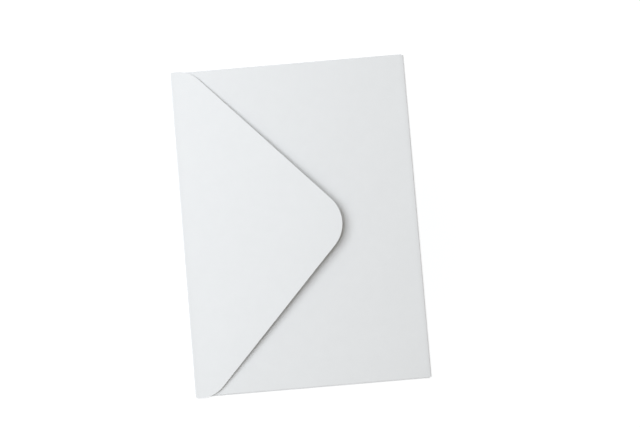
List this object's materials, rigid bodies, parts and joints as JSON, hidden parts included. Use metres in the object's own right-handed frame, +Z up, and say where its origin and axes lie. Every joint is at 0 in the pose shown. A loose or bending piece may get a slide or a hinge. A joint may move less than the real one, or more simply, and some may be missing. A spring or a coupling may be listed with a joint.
{
  "type": "paper envelope",
  "caption": "Plain white paper envelope with a glued side-seam pocket and a deep pointed flap with a round tip, folded over and slightly sprung.",
  "frame": {"origin": "under the middle of the folded envelope, on the surface that its front panel lies on", "axes": "+X along the long sides, +Y towards the fold of the flap, +Z up, out of the back of the envelope"},
  "size_m": [0.1848, 0.133, 0.0064],
  "materials": {
    "paper": "matte uncoated wove"
  },
  "bodies": {
    "root": {"envelope": "paper"}
  },
  "joints": []
}
